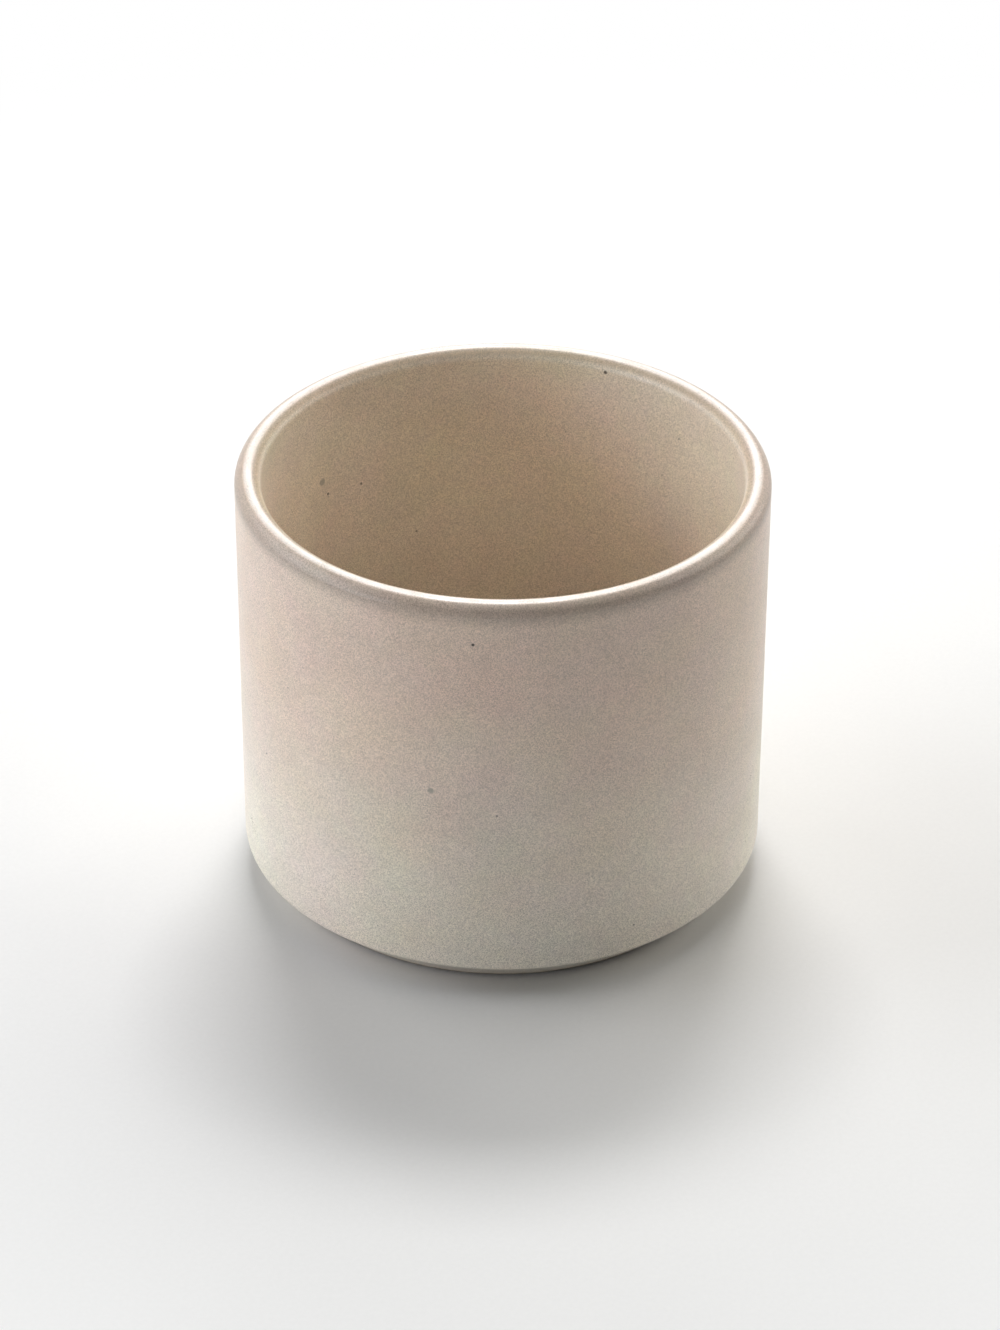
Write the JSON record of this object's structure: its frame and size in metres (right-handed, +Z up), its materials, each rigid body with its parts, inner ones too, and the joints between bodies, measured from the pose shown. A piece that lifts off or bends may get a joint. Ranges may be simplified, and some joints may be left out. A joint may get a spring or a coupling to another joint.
{
  "type": "pen holder cup",
  "caption": "Round thick-walled ceramic desk cup with a full-round rim, a bevelled foot and a soft pad under the base, for standing pens and pencils.",
  "frame": {"origin": "centre of the underside of the base pad, on the surface that the cup stands on", "axes": "+Z up, along the cup's axis; the cup is round, so X and Y are any two level directions"},
  "size_m": [0.09, 0.09, 0.077],
  "materials": {
    "cup_ceramic": "matte, fine grain, faint mottling and pinholes",
    "pad_rubber": "matte",
    "adhesive_film": "satin"
  },
  "bodies": {
    "root": {"cup_body": "cup_ceramic", "base_pad": "pad_rubber", "pad_adhesive": "adhesive_film"}
  },
  "joints": []
}
